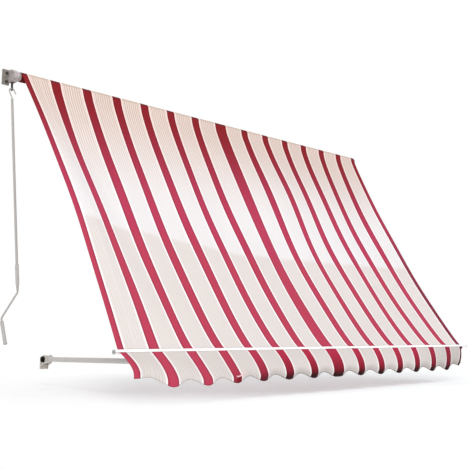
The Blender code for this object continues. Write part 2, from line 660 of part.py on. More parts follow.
def build_idle_bracket():
    """An angle of plate: one leg on the wall, the other with a bush for the idle plug's pin."""
    side = IDLE_BRACKET_LEFT
    corners = rounded_plate((side, -PLATE_BELOW), (side + IDLE_PLATE_WIDTH, PLATE_ABOVE), PLATE_CORNER)
    wall_leg = prism("idle_wall_bracket", corners, -PLATE, 0.0, "Y", DARK_STEEL)
    nose = arc((ROLLER_Y, 0.0), IDLE_RADIUS, 260, 100, 10)
    outline = [(-PLATE / 2, PLATE_ABOVE - PLATE), (-PLATE / 2, PLATE - PLATE_BELOW), *nose]
    side_leg = prism("idle_side_leg", outline, side, side + IDLE_FLANGE, "X")
    unite(wall_leg, side_leg)
    hole_x = side + IDLE_PLATE_WIDTH * IDLE_HOLE_ACROSS
    for height in (PLATE_HOLE_UP, -PLATE_HOLE_DOWN):
        cut(wall_leg, rod("idle_wall_hole", PLATE_HOLE, (hole_x, -2 * PLATE, height),
                          (hole_x, PLATE, height)))
    bush_outer = IDLE_PIN_RADIUS + GAP + IDLE_BUSH_WALL
    cut(wall_leg, rod("idle_bush_hole", bush_outer + GAP, (side - OVERSHOOT, ROLLER_Y, 0.0),
                      (side + IDLE_FLANGE + OVERSHOOT, ROLLER_Y, 0.0)))
    inner = IDLE_PIN_RADIUS + GAP
    flange = bush_outer + IDLE_BUSH_FLANGE
    length = IDLE_FLANGE + GAP + IDLE_BUSH_LIP
    profile = [(bush_outer, length), (bush_outer, IDLE_BUSH_LIP), (flange, IDLE_BUSH_LIP),
               (flange, 0.0), (inner, 0.0), (inner, length)]
    turned("idle_bush", profile, (side - GAP - IDLE_BUSH_LIP, ROLLER_Y, 0.0), (1, 0, 0),
           BLACK_PLASTIC, closed=True)


def eased(value):
    """From 0 to 1 with soft ends."""
    value = min(1.0, max(0.0, value))
    return value * value * (3 - 2 * value)


def hump(value, middle, width):
    return math.exp(-((value - middle) / width) ** 2)


def canopy_edges(down):
    """X of the canopy's two edges, which are drawn in between the roller and the bar."""
    loose = max(0.0, math.sin(math.pi * down))
    left = FABRIC_LEFT + CANOPY_INSET_LEFT * down + CANOPY_WAIST_LEFT * loose
    right = FABRIC_RIGHT - CANOPY_INSET_RIGHT * down - CANOPY_WAIST_RIGHT * loose ** 0.6
    return left, right


def canopy_point(across, down):
    """The cloth sags towards the wall between its taut edges; a ridge past its middle sags less."""
    left, right = canopy_edges(down)
    loose = max(0.0, math.sin(math.pi * down))
    slack = eased((across - 0.05 * down) / (0.07 + 0.05 * down)) * eased((1 - across) / 0.065)
    ridge = hump(across, 0.62, 0.14) * hump(down, 0.30, 0.20) * min(1.0, 5 * loose)
    ripple = math.sin(2 * math.pi * (6.3 * across + 0.35 * down) + 0.8)
    ripple += 0.5 * math.sin(2 * math.pi * (2.1 * across + 2.3 * down))
    lift = CANOPY_RIPPLE * loose * ripple + CANOPY_RIDGE * ridge
    lift -= (CANOPY_SAG - CANOPY_SAG_LOSS * across) * loose ** 0.7 * slack
    place = CANOPY_TOP.lerp(CANOPY_FOOT, down) + CANOPY_NORMAL * lift
    return Vector((left + (right - left) * across, place.x, place.y))


def valance_point(across, down):
    """Out of the bar's groove on a short lip, then down, farther out towards the gear end."""
    left, right = canopy_edges(1.0)
    lip = VALANCE_LIP * min(1.0, down * VALANCE_ROWS)
    hang = max(0.0, (down * VALANCE_ROWS - 1.0) / (VALANCE_ROWS - 1.0))
    start = BAR_CENTRE + VALANCE_OUTWARD * (GROOVE_OUTER + lip)
    reach = VALANCE_LEAST_REACH + VALANCE_REACH * (1 - across) ** 1.5
    drop = VALANCE_DROP - VALANCE_SHRINK * reach
    wave = math.cos(2 * math.pi * REPEATS * across)
    scallop = 1.0 - VALANCE_SCALLOP * (1 - wave) / 2
    out = reach * math.sin(math.pi / 2 * hang) + VALANCE_WAVE * (wave - 0.5) * hang ** 2
    fall = drop * scallop * (0.6 * hang + 0.4 * hang ** 2)
    return Vector((left + (right - left) * across, start.x - out, start.y - fall))


def cloth_sheet(name, columns, rows, point, carrier):
    """A grid laid along a cloth's surface and given the cloth's thickness."""
    shape = bmesh.new()
    bmesh.ops.create_grid(shape, x_segments=columns, y_segments=rows, size=1.0)
    for vertex in shape.verts:
        vertex.co = point((vertex.co.x + 1) / 2, (1 - vertex.co.y) / 2)
    mesh = bpy.data.meshes.new(name)
    shape.to_mesh(mesh)
    shape.free()
    mesh.shade_smooth()
    sheet = new_object(name, mesh, RED_STRIPED_CLOTH, carrier)
    shell = sheet.modifiers.new("cloth", "SOLIDIFY")
    shell.thickness = CLOTH
    shell.offset = 0.0
    return sheet


def build_fabric():
    """The roll with the step where its outer turn ends, the canopy, and the scalloped valance."""
    outline = []
    for i in range(LARGE_STEPS + 1):
        angle = CANOPY_TOP_ANGLE + 2 * math.pi * i / LARGE_STEPS
        radius = ROLL_RADIUS - CLOTH * i / LARGE_STEPS
        outline.append((ROLLER_Y + radius * math.cos(angle), radius * math.sin(angle)))
    roll = prism("fabric_roll", outline, FABRIC_LEFT, FABRIC_RIGHT, "X", RED_STRIPED_CLOTH, ROLLER_AXIS)
    cut(roll, rod("roll_bore", TUBE_RADIUS + GAP, (FABRIC_LEFT - OVERSHOOT, ROLLER_Y, 0.0),
                  (FABRIC_RIGHT + OVERSHOOT, ROLLER_Y, 0.0), steps=LARGE_STEPS))
    cloth_sheet("canopy", 5 * REPEATS, CANOPY_ROWS, canopy_point, None)
    cloth_sheet("valance", 6 * REPEATS, VALANCE_ROWS, valance_point, BAR_AXIS)


def build_front_bar():
    """A round extrusion with a keyhole groove for each welt rod, and a cap in each end."""
    bar = rod("front_bar", BAR_RADIUS, (BAR_LEFT, BAR_Y, BAR_Z), (BAR_RIGHT, BAR_Y, BAR_Z),
              WHITE_PAINT, BAR_AXIS, steps=LARGE_STEPS)
    low, high = BAR_LEFT - OVERSHOOT, BAR_RIGHT + OVERSHOOT
    left, right = canopy_edges(1.0)
    for name, direction in (("canopy", UP_SLOPE), ("valance", VALANCE_OUTWARD)):
        centre = BAR_CENTRE + direction * WELT_DEPTH
        across = Vector((-direction.y, direction.x)) * GROOVE_MOUTH / 2
        outer = BAR_CENTRE + direction * (BAR_RADIUS + OVERSHOOT)
        mouth = [tuple(point) for point in (centre + across, centre - across, outer - across, outer + across)]
        cut(bar, rod(f"{name}_groove", WELT_RADIUS + GAP, (low, *centre), (high, *centre), steps=14),
            prism(f"{name}_mouth", mouth, low, high, "X"))
        rod(f"{name}_welt_rod", WELT_RADIUS, (left, *centre), (right, *centre), WELT_CORD, BAR_AXIS,
            steps=HOLE_STEPS)
    cut(bar, rod("bar_bore", BAR_BORE, (low, BAR_Y, BAR_Z), (high, BAR_Y, BAR_Z), steps=HOLE_STEPS))
    inner = BAR_CAP_STEM + GAP
    outer = inner + BAR_CAP
    profile = [(0.0, outer), (BAR_RADIUS - BAR_CAP_CHAMFER, outer), (BAR_RADIUS, outer - BAR_CAP_CHAMFER),
               (BAR_RADIUS, inner), (BAR_BORE - GAP, inner), (BAR_BORE - GAP, 0.0), (0.0, 0.0)]
    for side, end, outwards in (("left", BAR_LEFT, -1.0), ("right", BAR_RIGHT, 1.0)):
        turned(f"bar_end_cap_{side}", profile, (end - outwards * BAR_CAP_STEM, BAR_Y, BAR_Z),
               (outwards, 0, 0), GREY_PLASTIC, BAR_AXIS)


def build_bar_bracket(side, x, carrier):
    """A saddle behind and under the bar, with a slotted lug down to the arm's front pivot."""
    pivot = (FRONT_PIVOT.y, FRONT_PIVOT.z)
    outer = BAR_RADIUS + GAP + SADDLE_WALL
    back = [(2 * BAR_Y - y, z) for y, z in arc((BAR_Y, BAR_Z), outer, 142, 190, 4)]
    lug = arc(pivot, LUG_RADIUS, 20, -195, 12)
    front_y = BAR_Y - SADDLE_FRONT
    front = [(front_y, BAR_Z - outer), (front_y, BAR_Z), (BAR_Y, BAR_Z + OVERSHOOT)]
    half = SADDLE_WIDTH / 2
    bracket = prism(f"bar_bracket_{side}", [*back, *lug, *front], x - half, x + half, "X", GREY_PAINT,
                    carrier)
    seat = rod("bar_seat", BAR_RADIUS + GAP, (x - SADDLE_WIDTH, BAR_Y, BAR_Z),
               (x + SADDLE_WIDTH, BAR_Y, BAR_Z), steps=LARGE_STEPS)
    half_slot = TONGUE_WIDTH / 2 + GAP
    slot = rod("tongue_slot", LUG_RADIUS + RUNNING_GAP, (x - half_slot, *pivot),
               (x + half_slot, *pivot), steps=LARGE_STEPS)
    hole = rod("pin_hole", PIN_RADIUS + GAP, (x - half - OVERSHOOT, *pivot),
               (x + half + OVERSHOOT, *pivot))
    outward = Vector((-math.cos(SADDLE_SCREW_ANGLE), math.sin(SADDLE_SCREW_ANGLE)))
    underside = outer + GAP
    depth = SADDLE_SCREW_DEPTH + SADDLE_WALL
    tip = BAR_CENTRE + outward * (underside - depth)
    deeper = BAR_CENTRE + outward * (underside - depth - GAP)
    beyond = BAR_CENTRE + outward * (outer + OVERSHOOT)
    screw_hole = rod("saddle_screw_hole", SADDLE_SCREW + GAP, (x, *deeper), (x, *beyond), steps=HOLE_STEPS)
    cut(bracket, seat, screw_hole, slot, hole)
    cut(bpy.data.objects["front_bar"],
        rod("bar_screw_hole", SADDLE_SCREW + GAP, (x, *deeper), (x, *beyond), steps=HOLE_STEPS))
    screw(f"bar_bracket_screw_{side}", SADDLE_SCREW, SADDLE_SCREW_HEAD, SADDLE_SCREW_HEAD_HEIGHT,
          depth, (x, *tip), (0, outward.x, outward.y), carrier)
    reach = half + GAP
    bevel = PIN_HEAD_RADIUS - RUNNING_GAP
    profile = [(0.0, reach + PIN_HEAD), (bevel, reach + PIN_HEAD),
               (PIN_HEAD_RADIUS, reach + PIN_HEAD - RUNNING_GAP), (PIN_HEAD_RADIUS, reach),
               (PIN_RADIUS, reach)]
    mirrored = [(radius, -height) for radius, height in reversed(profile)]
    turned(f"bar_pin_{side}", [*profile, *mirrored], (x, *pivot), (1, 0, 0), BRIGHT_STEEL, carrier)


def build_arm(side, x, carrier):
    """A round tube between an eye at the wall and a flat tongue at the front bar."""
    pivot = Vector((x, ARM_PIVOT.y, ARM_PIVOT.z))
    front = Vector((x, FRONT_PIVOT.y, FRONT_PIVOT.z))
    start = pivot + ARM_ALONG * ARM_SOCKET
    end = front - ARM_ALONG * TONGUE_SOCKET
    tube(f"arm_tube_{side}", ARM_RADIUS, ARM_RADIUS - ARM_WALL, start, end, GREY_PAINT, carrier)
    sleeve = ARM_RADIUS - ARM_WALL - GAP
    fitting = rod(f"arm_wall_fitting_{side}", ARM_EYE_RADIUS, (x - ARM_EYE_WIDTH / 2, pivot.y, pivot.z),
                  (x + ARM_EYE_WIDTH / 2, pivot.y, pivot.z), GREY_PAINT, carrier,
                  chamfer=ARM_EYE_CHAMFER, steps=LARGE_STEPS)
    shoulder = rod("wall_shoulder", ARM_RADIUS, pivot, start - ARM_ALONG * GAP)
    stub = rod("wall_stub", sleeve, pivot, start + ARM_ALONG * FITTING_DEPTH)
    bolt_hole = rod("bolt_hole", BOLT_RADIUS + GAP, (x - ARM_EYE_WIDTH, pivot.y, pivot.z),
                    (x + ARM_EYE_WIDTH, pivot.y, pivot.z))
    unite(fitting, shoulder, stub)
    cut(fitting, bolt_hole)
    tongue = rod(f"arm_front_fitting_{side}", TONGUE_RADIUS, (x - TONGUE_WIDTH / 2, front.y, front.z),
                 (x + TONGUE_WIDTH / 2, front.y, front.z), GREY_PAINT, carrier)
    across = Vector((0.0, ARM_ALONG.z, -ARM_ALONG.y)) * TONGUE_RADIUS * 0.8
    corners = [front + across, front - across, end - across + ARM_ALONG * GAP * 2,
               end + across + ARM_ALONG * GAP * 2]
    web = prism("tongue_web", [(corner.y, corner.z) for corner in corners],
                x - TONGUE_WIDTH / 2, x + TONGUE_WIDTH / 2, "X")
    collar = rod("front_collar", ARM_RADIUS, end + ARM_ALONG * GAP, end + ARM_ALONG * TONGUE_COLLAR)
    plug = rod("front_plug", sleeve, end - ARM_ALONG * FITTING_DEPTH, end + ARM_ALONG * OVERSHOOT)
    pin_hole = rod("tongue_pin_hole", PIN_RADIUS + GAP, (x - TONGUE_WIDTH, front.y, front.z),
                   (x + TONGUE_WIDTH, front.y, front.z))
    unite(tongue, web, collar, plug)
    cut(tongue, pin_hole)


def build_arm_wall_bracket(side, x):
    """A small wall plate with two ears that hold the arm's eye on a bolt under black caps."""
    pivot = (ARM_PIVOT.y, ARM_PIVOT.z)
    low = (x - ARM_PLATE_WIDTH / 2, pivot[1] - ARM_PLATE_BELOW)
    high = (x + ARM_PLATE_WIDTH / 2, pivot[1] + ARM_PLATE_ABOVE)
    plate = prism(f"arm_wall_bracket_{side}", rounded_plate(low, high, PLATE_CORNER), -ARM_PLATE, 0.0,
                  "Y", GREY_PAINT)
    ear_outline = [(-ARM_PLATE / 2, high[1] - ARM_PLATE / 2), (-ARM_PLATE / 2, low[1] + EAR_INSET),
                   *arc(pivot, EAR_RADIUS, 245, 85, 12)]
    inner = ARM_EYE_WIDTH / 2 + RUNNING_GAP
    for hand in (-1, 1):
        near, far = sorted((x + hand * inner, x + hand * (inner + EAR)))
        unite(plate, prism("bracket_ear", ear_outline, near, far, "X"))
    cut(plate, rod("ear_hole", BOLT_RADIUS + GAP, (x - ARM_PLATE_WIDTH, *pivot),
                   (x + ARM_PLATE_WIDTH, *pivot)))
    hole_z = low[1] + ARM_PLATE_HOLE_UP
    for hand in (-1, 1):
        hole_x = x + hand * ARM_PLATE_HOLE_SPREAD / 2
        cut(plate, rod("plate_hole", ARM_PLATE_HOLE, (hole_x, -2 * ARM_PLATE, hole_z),
                       (hole_x, ARM_PLATE, hole_z), steps=HOLE_STEPS))
    half = inner + EAR + BOLT_END
    rod(f"pivot_bolt_{side}", BOLT_RADIUS, (x - half, *pivot), (x + half, *pivot), BRIGHT_STEEL)
    start = inner + EAR + GAP
    pocket = half + GAP - start
    dome = [(0.0, PIVOT_CAP), (PIVOT_CAP_RADIUS * 0.55, PIVOT_CAP * 0.95),
            (PIVOT_CAP_RADIUS * 0.9, PIVOT_CAP * 0.74), (PIVOT_CAP_RADIUS, PIVOT_CAP * 0.44)]
    profile = [*dome, (PIVOT_CAP_RADIUS, 0.0), (BOLT_RADIUS + GAP, 0.0), (BOLT_RADIUS + GAP, pocket),
               (0.0, pocket)]
    for hand, name in ((-1, "left"), (1, "right")):
        turned(f"pivot_cap_{side}_{name}", profile, (x + hand * start, *pivot), (hand, 0, 0),
               BLACK_PLASTIC)


def build_arms():
    right_x = ARM_X + RIGHT_ARM_SHIFT.x
    for side, x, carrier in (("left", ARM_X, LEFT_ARM_AXIS), ("right", right_x, RIGHT_ARM_AXIS)):
        build_arm(side, x, carrier)
        build_arm_wall_bracket(side, x)
        build_bar_bracket(side, x, BAR_AXIS)


def crank_point(along, aside=0.0):
    """A point in the crank's own frame: down its rod, and aside towards the handle's throw."""
    down = Vector((math.sin(CRANK_LEAN), 0.0, -math.cos(CRANK_LEAN)))
    side = Vector((-math.cos(CRANK_LEAN), 0.0, -math.sin(CRANK_LEAN)))
    return Vector((GEAR_X, WORM_Y, HOOK_Z)) + down * along + side * aside


def wire(name, corners, radius, bend, paint, carrier):
    """A bent round rod through its corner points, each turned on an arc of the given radius."""
    points = [corners[0]]
    for before, corner, after in zip(corners, corners[1:], corners[2:]):
        to_before = (before - corner).normalized()
        to_after = (after - corner).normalized()
        setback = bend * math.tan((math.pi - to_before.angle(to_after)) / 2)
        setback = min(setback, (before - corner).length * 0.49, (after - corner).length * 0.49)
        first, last = corner + to_before * setback, corner + to_after * setback
        for i in range(5):
            t = i / 4
            points.append(first.lerp(corner, t).lerp(corner.lerp(last, t), t))
    points.append(corners[-1])
    curve = bpy.data.curves.new(name, "CURVE")
    curve.dimensions = "3D"
    curve.bevel_depth = radius
    curve.bevel_resolution = 2
    curve.use_fill_caps = True
    spline = curve.splines.new("POLY")
    spline.points.add(len(points) - 1)
    for spot, point in zip(spline.points, points):
        spot.co = (*point, 1.0)
    obj = bpy.data.objects.new(name, curve)
    PARTS.objects.link(obj)
    curve.materials.append(paint)
    obj.parent = carrier
    obj.matrix_parent_inverse = Matrix.Translation(carrier.location).inverted()
    return obj


def build_crank():
    """Hook, tube with a turning grip, and the cranked handle with its own turning grip."""
    hook_top = Vector((GEAR_X, WORM_Y, HOOK_Z))
    span = Vector((HOOK_HALF_SPAN, 0.0, 0.0))
    tip = hook_top + span + Vector((HOOK_TIP_OUT, 0.0, -HOOK_TIP_DROP))
    side = hook_top - span - Vector((0.0, 0.0, HOOK_SIDE_DROP))
    ferrule_end = CRANK_ROD_START - GAP
    ferrule_start = ferrule_end - FERRULE
    hook = [tip, hook_top + span, hook_top - span, side, crank_point(ferrule_start - HOOK_WIRE),
            crank_point(CRANK_ROD_START + CRANK_SHANK)]
    wire("crank_hook", hook, HOOK_WIRE, HOOK_BEND, BRIGHT_STEEL, CRANK_AXIS)
    inner = CRANK_ROD_RADIUS - CRANK_ROD_WALL
    tube("crank_rod", CRANK_ROD_RADIUS, inner, crank_point(CRANK_ROD_START), crank_point(CRANK_ROD_END),
         GREY_PAINT, CRANK_AXIS, steps=CRANK_STEPS)
    tube("crank_ferrule", CRANK_ROD_RADIUS, HOOK_WIRE + GAP, crank_point(ferrule_start),
         crank_point(ferrule_end), GREY_PLASTIC, CRANK_AXIS, steps=CRANK_STEPS)
    tube("crank_upper_grip", GRIP_RADIUS, CRANK_ROD_RADIUS + GAP, crank_point(UPPER_GRIP_START),
         crank_point(UPPER_GRIP_START + UPPER_GRIP_LENGTH), GREY_PLASTIC, CRANK_AXIS, steps=CRANK_STEPS)
    slant = math.tan(LOWER_GRIP_SLANT)
    grip_end = LOWER_GRIP_START + LOWER_GRIP_LENGTH

    def lower(along):
        return crank_point(along, CRANK_THROW - slant * (along - CRANK_BEND_END))

    handle = [crank_point(CRANK_ROD_END - CRANK_SHANK), crank_point(CRANK_BEND_START),
              crank_point(CRANK_BEND_END, CRANK_THROW), lower(grip_end + GAP)]
    wire("crank_handle_rod", handle, CRANK_HANDLE_WIRE, CRANK_BEND, BRIGHT_STEEL, CRANK_AXIS)
    tube("crank_lower_grip", GRIP_RADIUS, CRANK_HANDLE_WIRE + GAP, lower(LOWER_GRIP_START),
         lower(grip_end), GREY_PLASTIC, CRANK_AXIS, steps=CRANK_STEPS)
    cap_start = grip_end + 2 * GAP
    rod("crank_grip_cap", GRIP_RADIUS, lower(cap_start), lower(cap_start + GRIP_CAP), GREY_PLASTIC,
        CRANK_AXIS, chamfer=GRIP_CAP_CHAMFER, steps=CRANK_STEPS)


build_gear_wall_bracket()
build_gear_housing()
build_gear_cover()
build_mount_screws()
build_worm()
build_worm_bush()
build_wheel()
build_roller()
build_idle_bracket()
build_fabric()
build_front_bar()
build_arms()
build_crank()
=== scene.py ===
import json
import math

import bmesh
import bpy
from mathutils import Matrix, Vector


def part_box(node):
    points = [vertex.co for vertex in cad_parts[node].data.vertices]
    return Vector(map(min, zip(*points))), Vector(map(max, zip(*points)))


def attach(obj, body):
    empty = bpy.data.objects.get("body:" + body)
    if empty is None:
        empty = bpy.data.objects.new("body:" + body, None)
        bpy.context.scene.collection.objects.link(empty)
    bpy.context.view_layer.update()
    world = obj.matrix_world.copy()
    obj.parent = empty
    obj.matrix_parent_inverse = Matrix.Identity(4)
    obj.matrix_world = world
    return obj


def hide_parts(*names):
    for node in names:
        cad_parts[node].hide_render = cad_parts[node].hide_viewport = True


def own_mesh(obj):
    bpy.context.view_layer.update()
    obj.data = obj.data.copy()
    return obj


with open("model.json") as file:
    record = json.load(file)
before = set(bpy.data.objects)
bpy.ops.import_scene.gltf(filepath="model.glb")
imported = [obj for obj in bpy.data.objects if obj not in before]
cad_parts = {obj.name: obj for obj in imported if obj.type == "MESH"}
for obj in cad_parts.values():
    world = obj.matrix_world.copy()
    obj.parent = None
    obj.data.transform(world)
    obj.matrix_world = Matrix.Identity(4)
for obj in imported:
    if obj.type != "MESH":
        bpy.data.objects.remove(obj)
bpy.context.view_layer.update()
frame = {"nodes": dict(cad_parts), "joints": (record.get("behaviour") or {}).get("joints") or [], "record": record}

nodes = frame["nodes"]


def srgb(red, green, blue):
    """A colour as it is seen, from 0 to 255, turned into the linear one that shaders take."""
    def linear(value):
        value /= 255
        return value / 12.92 if value <= 0.04045 else ((value + 0.055) / 1.055) ** 2.4
    return (linear(red), linear(green), linear(blue), 1.0)


# The cut of the cloth, in metres
CLOTH_LEFT = 0.046
CLOTH_WIDTH = 2.38
CLOTH_THICK = 0.0009
CANOPY_LENGTH = 1.41
VALANCE_LENGTH = 0.132

# Its stripes and stitching, in metres across the cut
STRIPE_PITCH = 0.1679
SEAM_EXTRA = 0.030
RED_HALF = 0.0250
BORDER = 0.0080
LEFT_SELVEDGE = 0.028
RIGHT_SELVEDGE = 0.036
PIN_PITCH = 0.0128
YARN_PITCH = 0.0016
SEAM_ROWS = 0.011
HEM_ROW = 0.016

# Its dyes with painted light: darker at the roller (painted shade), paler below it in a washed-out
# painted highlight, and greyer below that highlight's lower edge
CREAM = (srgb(228, 209, 199), srgb(236, 232, 232), srgb(226, 218, 215))
PIN_LINES = (srgb(201, 176, 162), srgb(231, 224, 221), srgb(219, 208, 199))
WHITE_BORDER = (srgb(249, 224, 215), srgb(253, 243, 242), srgb(253, 243, 242))
CRIMSON = (srgb(134, 24, 32), srgb(183, 57, 87), srgb(184, 60, 85))
# Painted shade on the cloth that lies on the roller
ROLL_SHADE_CREAM = srgb(200, 176, 154)
ROLL_SHADE_CRIMSON = srgb(84, 18, 20)

# Where the painted highlight ends: down to a line that lies lower towards the right
SHADE_LINE_AT_LEFT = 0.778
SHADE_LINE_LOWER = 0.088

# How the canopy hangs, in metres: where its foot is drawn in and how far it sags
FOOT_INSET_LEFT = 0.015
FOOT_INSET_RIGHT = 0.041
PULLED_IN_LEFT = 0.027
PULLED_IN_RIGHT = 0.080
SAG_AT_LEFT = 0.058
SAG_LESS_AT_RIGHT = 0.031
RIDGE_HEIGHT = 0.028
# Long soft waves: height, waves across, waves down the slope, and phase
WAVES = ((0.0035, 6.3, 0.35, 0.8), (0.0018, 2.1, 2.3, 0.0), (0.0016, 15.1, -0.8, 2.0))

# The cloth on the roller: its turns, where they start and the length that one turn takes, then
# the strip of the canopy that still lies on it
TURNS = 2.4
FIRST_TURN_RADIUS = 0.0201
TURN_LENGTH = 0.14
WRAP_SHARE = 0.015
WRAP_ANGLE = math.radians(4)
WRAP_RISE = 0.0004

# How the valance hangs, in metres; each swell has its height, its middle and its width
SWELLS = ((0.101, 0.11, 0.24), (0.038, 0.57, 0.28), (0.012, 0.42, 0.09))
DRAWN_BACK = 0.012
MOST_BLOWN = 0.11
DROP_AT_LEFT = 0.120
DROP_MORE_AT_RIGHT = 0.008
ENDS_SHORTER = 0.034
SCALLOP_SHARE = 0.20
LOBES_OUT = 0.0075
CURL_UNDER = 0.007
CURL_UP = 0.002
EDGE_TURNED_BACK = 0.017

# Places taken from the frame, in the plane across the awning: (Y, Z)
ROLL_LOW, ROLL_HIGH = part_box("fabric_roll")
ROLL = Vector(((ROLL_LOW.y + ROLL_HIGH.y) / 2, 0.0))
ROLL_RADIUS = (ROLL_HIGH.z - ROLL_LOW.z) / 2
BAR_LOW, BAR_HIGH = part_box("front_bar")
BAR = Vector(((BAR_LOW.y + BAR_HIGH.y) / 2, (BAR_LOW.z + BAR_HIGH.z) / 2))
BAR_RADIUS = (BAR_HIGH.z - BAR_LOW.z) / 2

# Where the canopy leaves the roll and where it enters the bar
CLEAR_OF_ROLL = 0.0005
IN_GROOVE = 0.0006
PAST_TANGENT = math.radians(14)
SLOPE = BAR - ROLL
LEAVE_RADIUS = ROLL_RADIUS + CLEAR_OF_ROLL + CLOTH_THICK / 2
TANGENT_ANGLE = math.atan2(SLOPE.y, SLOPE.x) - math.acos(LEAVE_RADIUS / SLOPE.length)
LEAVE_ANGLE = TANGENT_ANGLE + PAST_TANGENT
LEAVE = ROLL + LEAVE_RADIUS * Vector((math.cos(LEAVE_ANGLE), math.sin(LEAVE_ANGLE)))
UP_SLOPE = (LEAVE - BAR).normalized()
FOOT = BAR + UP_SLOPE * (BAR_RADIUS - IN_GROOVE)
OUTWARD = Vector((-UP_SLOPE.y, UP_SLOPE.x))
OUTWARD = OUTWARD if OUTWARD.x < 0 else -OUTWARD
FRONT_GROOVE = BAR + Vector((-BAR_RADIUS - 0.0004, -0.0013))

# The bolts that hold the brackets, in metres
ROLLER_PLATE_HOLES = (("upper", 0.016), ("lower", 0.054))
GEAR_HOLE_X = 0.0035
IDLE_HOLE_SHARE = 0.6
IDLE_PLATE_THICK = 0.004
ARM_PLATE_THICK = 0.0035
ARM_HOLE_OUT = 0.01375
ARM_HOLE_RISE = 0.006
ARM_BOLT_SIZE = 0.72
BOLT_SUNK = 0.0002
WASHER = ((0.0, 0.0), (0.0068, 0.0), (0.0070, 0.0004), (0.0070, 0.0012), (0.0064, 0.0014),
          (0.0, 0.0014))
HEAD = ((0.0, 0.0014), (0.0050, 0.0014), (0.0050, 0.0046), (0.0044, 0.0052), (0.0, 0.0054))

# The soft tops of the pivot caps, in metres
DOME_HEIGHT = 0.0135
DOME_RIM = 0.004

# The camera: its place in metres, its turns, and its lens and sensor in millimetres
CAMERA_SPOT = (-1.537, -3.0831, -1.0469)
CAMERA_YAW = math.radians(43.81)
CAMERA_PITCH = math.radians(6.339)
CAMERA_ROLL = math.radians(1.138)
CAMERA_LENS = 58.826
CAMERA_SENSOR = 36.0

# The floor, in metres, and how much longer than deep its pale patch is
FLOOR_SIZE = 40.0
FLOOR_MIDDLE = (1.35, -0.55, -1.36)
FLOOR_STRETCH = 1.7

# Sockets of the Mix node when it mixes colours
MIX_FACTOR = 0
MIX_FIRST = 6
MIX_SECOND = 7
MIX_RESULT = 2

WHITE = (1.0, 1.0, 1.0, 1.0)


class Signal:
    """A value or colour that varies over a surface; arithmetic on it adds nodes beside its own."""

    def __init__(self, owner, socket):
        self.owner = owner
        self.socket = socket

    def math(self, operation, *values):
        return self.owner.add("ShaderNodeMath", {"operation": operation}, dict(enumerate(values)))

    def __add__(self, other):
        return self.math("ADD", self, other)

    def __radd__(self, other):
        return self.math("ADD", other, self)

    def __sub__(self, other):
        return self.math("SUBTRACT", self, other)

    def __rsub__(self, other):
        return self.math("SUBTRACT", other, self)

    def __mul__(self, other):
        return self.math("MULTIPLY", self, other)

    def __rmul__(self, other):
        return self.math("MULTIPLY", other, self)

    def __truediv__(self, other):
        return self.math("DIVIDE", self, other)

    def __mod__(self, other):
        return self.math("FLOORED_MODULO", self, other)

    def __abs__(self):
        return self.math("ABSOLUTE", self)

    def root(self):
        return self.math("SQRT", self)

    def min(self, other):
        return self.math("MINIMUM", self, other)

    def max(self, other):
        return self.math("MAXIMUM", self, other)

    def off_line(self, pitch):
        """How far the value is from the nearest of the lines that stand a pitch apart."""
        return abs((self + pitch / 2) % pitch - pitch / 2)

    def ramp(self, start, end):
        """From 0 where the value is start to 1 where it is end, with soft ends."""
        return self.owner.add("ShaderNodeMapRange", {"interpolation_type": "SMOOTHSTEP"},
                              {"Value": self, "From Min": start, "From Max": end})


class NodeTree:
    """The nodes of a material, or of the world."""

    def __init__(self, tree):
        self.tree = tree

    def add(self, kind, settings=None, inputs=None, output=0):
        """A new node. A tuple of output names gives a signal for each of them."""
        node = self.tree.nodes.new(kind)
        for key, value in (settings or {}).items():
            setattr(node, key, value)
        for key, value in (inputs or {}).items():
            self.feed(node.inputs[key], value)
        if isinstance(output, tuple):
            return [Signal(self, node.outputs[key]) for key in output]
        return Signal(self, node.outputs[output])

    def feed(self, socket, value):
        if isinstance(value, Signal):
            self.tree.links.new(value.socket, socket)
        else:
            socket.default_value = value

    def mix(self, factor, first, second):
        """From the first colour to the second."""
        return self.add("ShaderNodeMix", {"data_type": "RGBA"},
                        {MIX_FACTOR: factor, MIX_FIRST: first, MIX_SECOND: second}, MIX_RESULT)

    def times(self, vector, factors):
        """A colour or place with each of its parts multiplied."""
        return self.add("ShaderNodeVectorMath", {"operation": "MULTIPLY"}, {0: vector, 1: factors})

    def place(self):
        """Where a point is on the piece, in metres."""
        return self.add("ShaderNodeTexCoord", output="Object")

    def axes(self, vector):
        return self.add("ShaderNodeSeparateXYZ", inputs={0: vector}, output=("X", "Y", "Z"))

    def looked_at(self):
        """1 for what is looked at: straight, in a reflection, or through something clear."""
        straight, glossy, clear = self.add("ShaderNodeLightPath", output=(
            "Is Camera Ray", "Is Glossy Ray", "Is Transmission Ray"))
        return straight.max(glossy).max(clear)


class Finish(NodeTree):
    """A material that ends in one Principled shader."""

    def __init__(self, name, roughness, metallic=0.0):
        self.material = bpy.data.materials.new(name)
        self.material.use_nodes = True
        super().__init__(self.material.node_tree)
        self.shader = self.tree.nodes["Principled BSDF"]
        self.give("Roughness", roughness)
        self.give("Metallic", metallic)

    def give(self, socket, value):
        self.feed(self.shader.inputs[socket], value)

    def noise(self, scale, detail, where=None, stretch=None):
        where = self.place() if where is None else where
        if stretch is not None:
            where = self.times(where, stretch)
        return self.add("ShaderNodeTexNoise",
                        inputs={"Vector": where, "Scale": scale, "Detail": detail})

    def bump(self, height, distance, strength):
        self.give("Normal", self.add("ShaderNodeBump", inputs={
            "Height": height, "Distance": distance, "Strength": strength}))


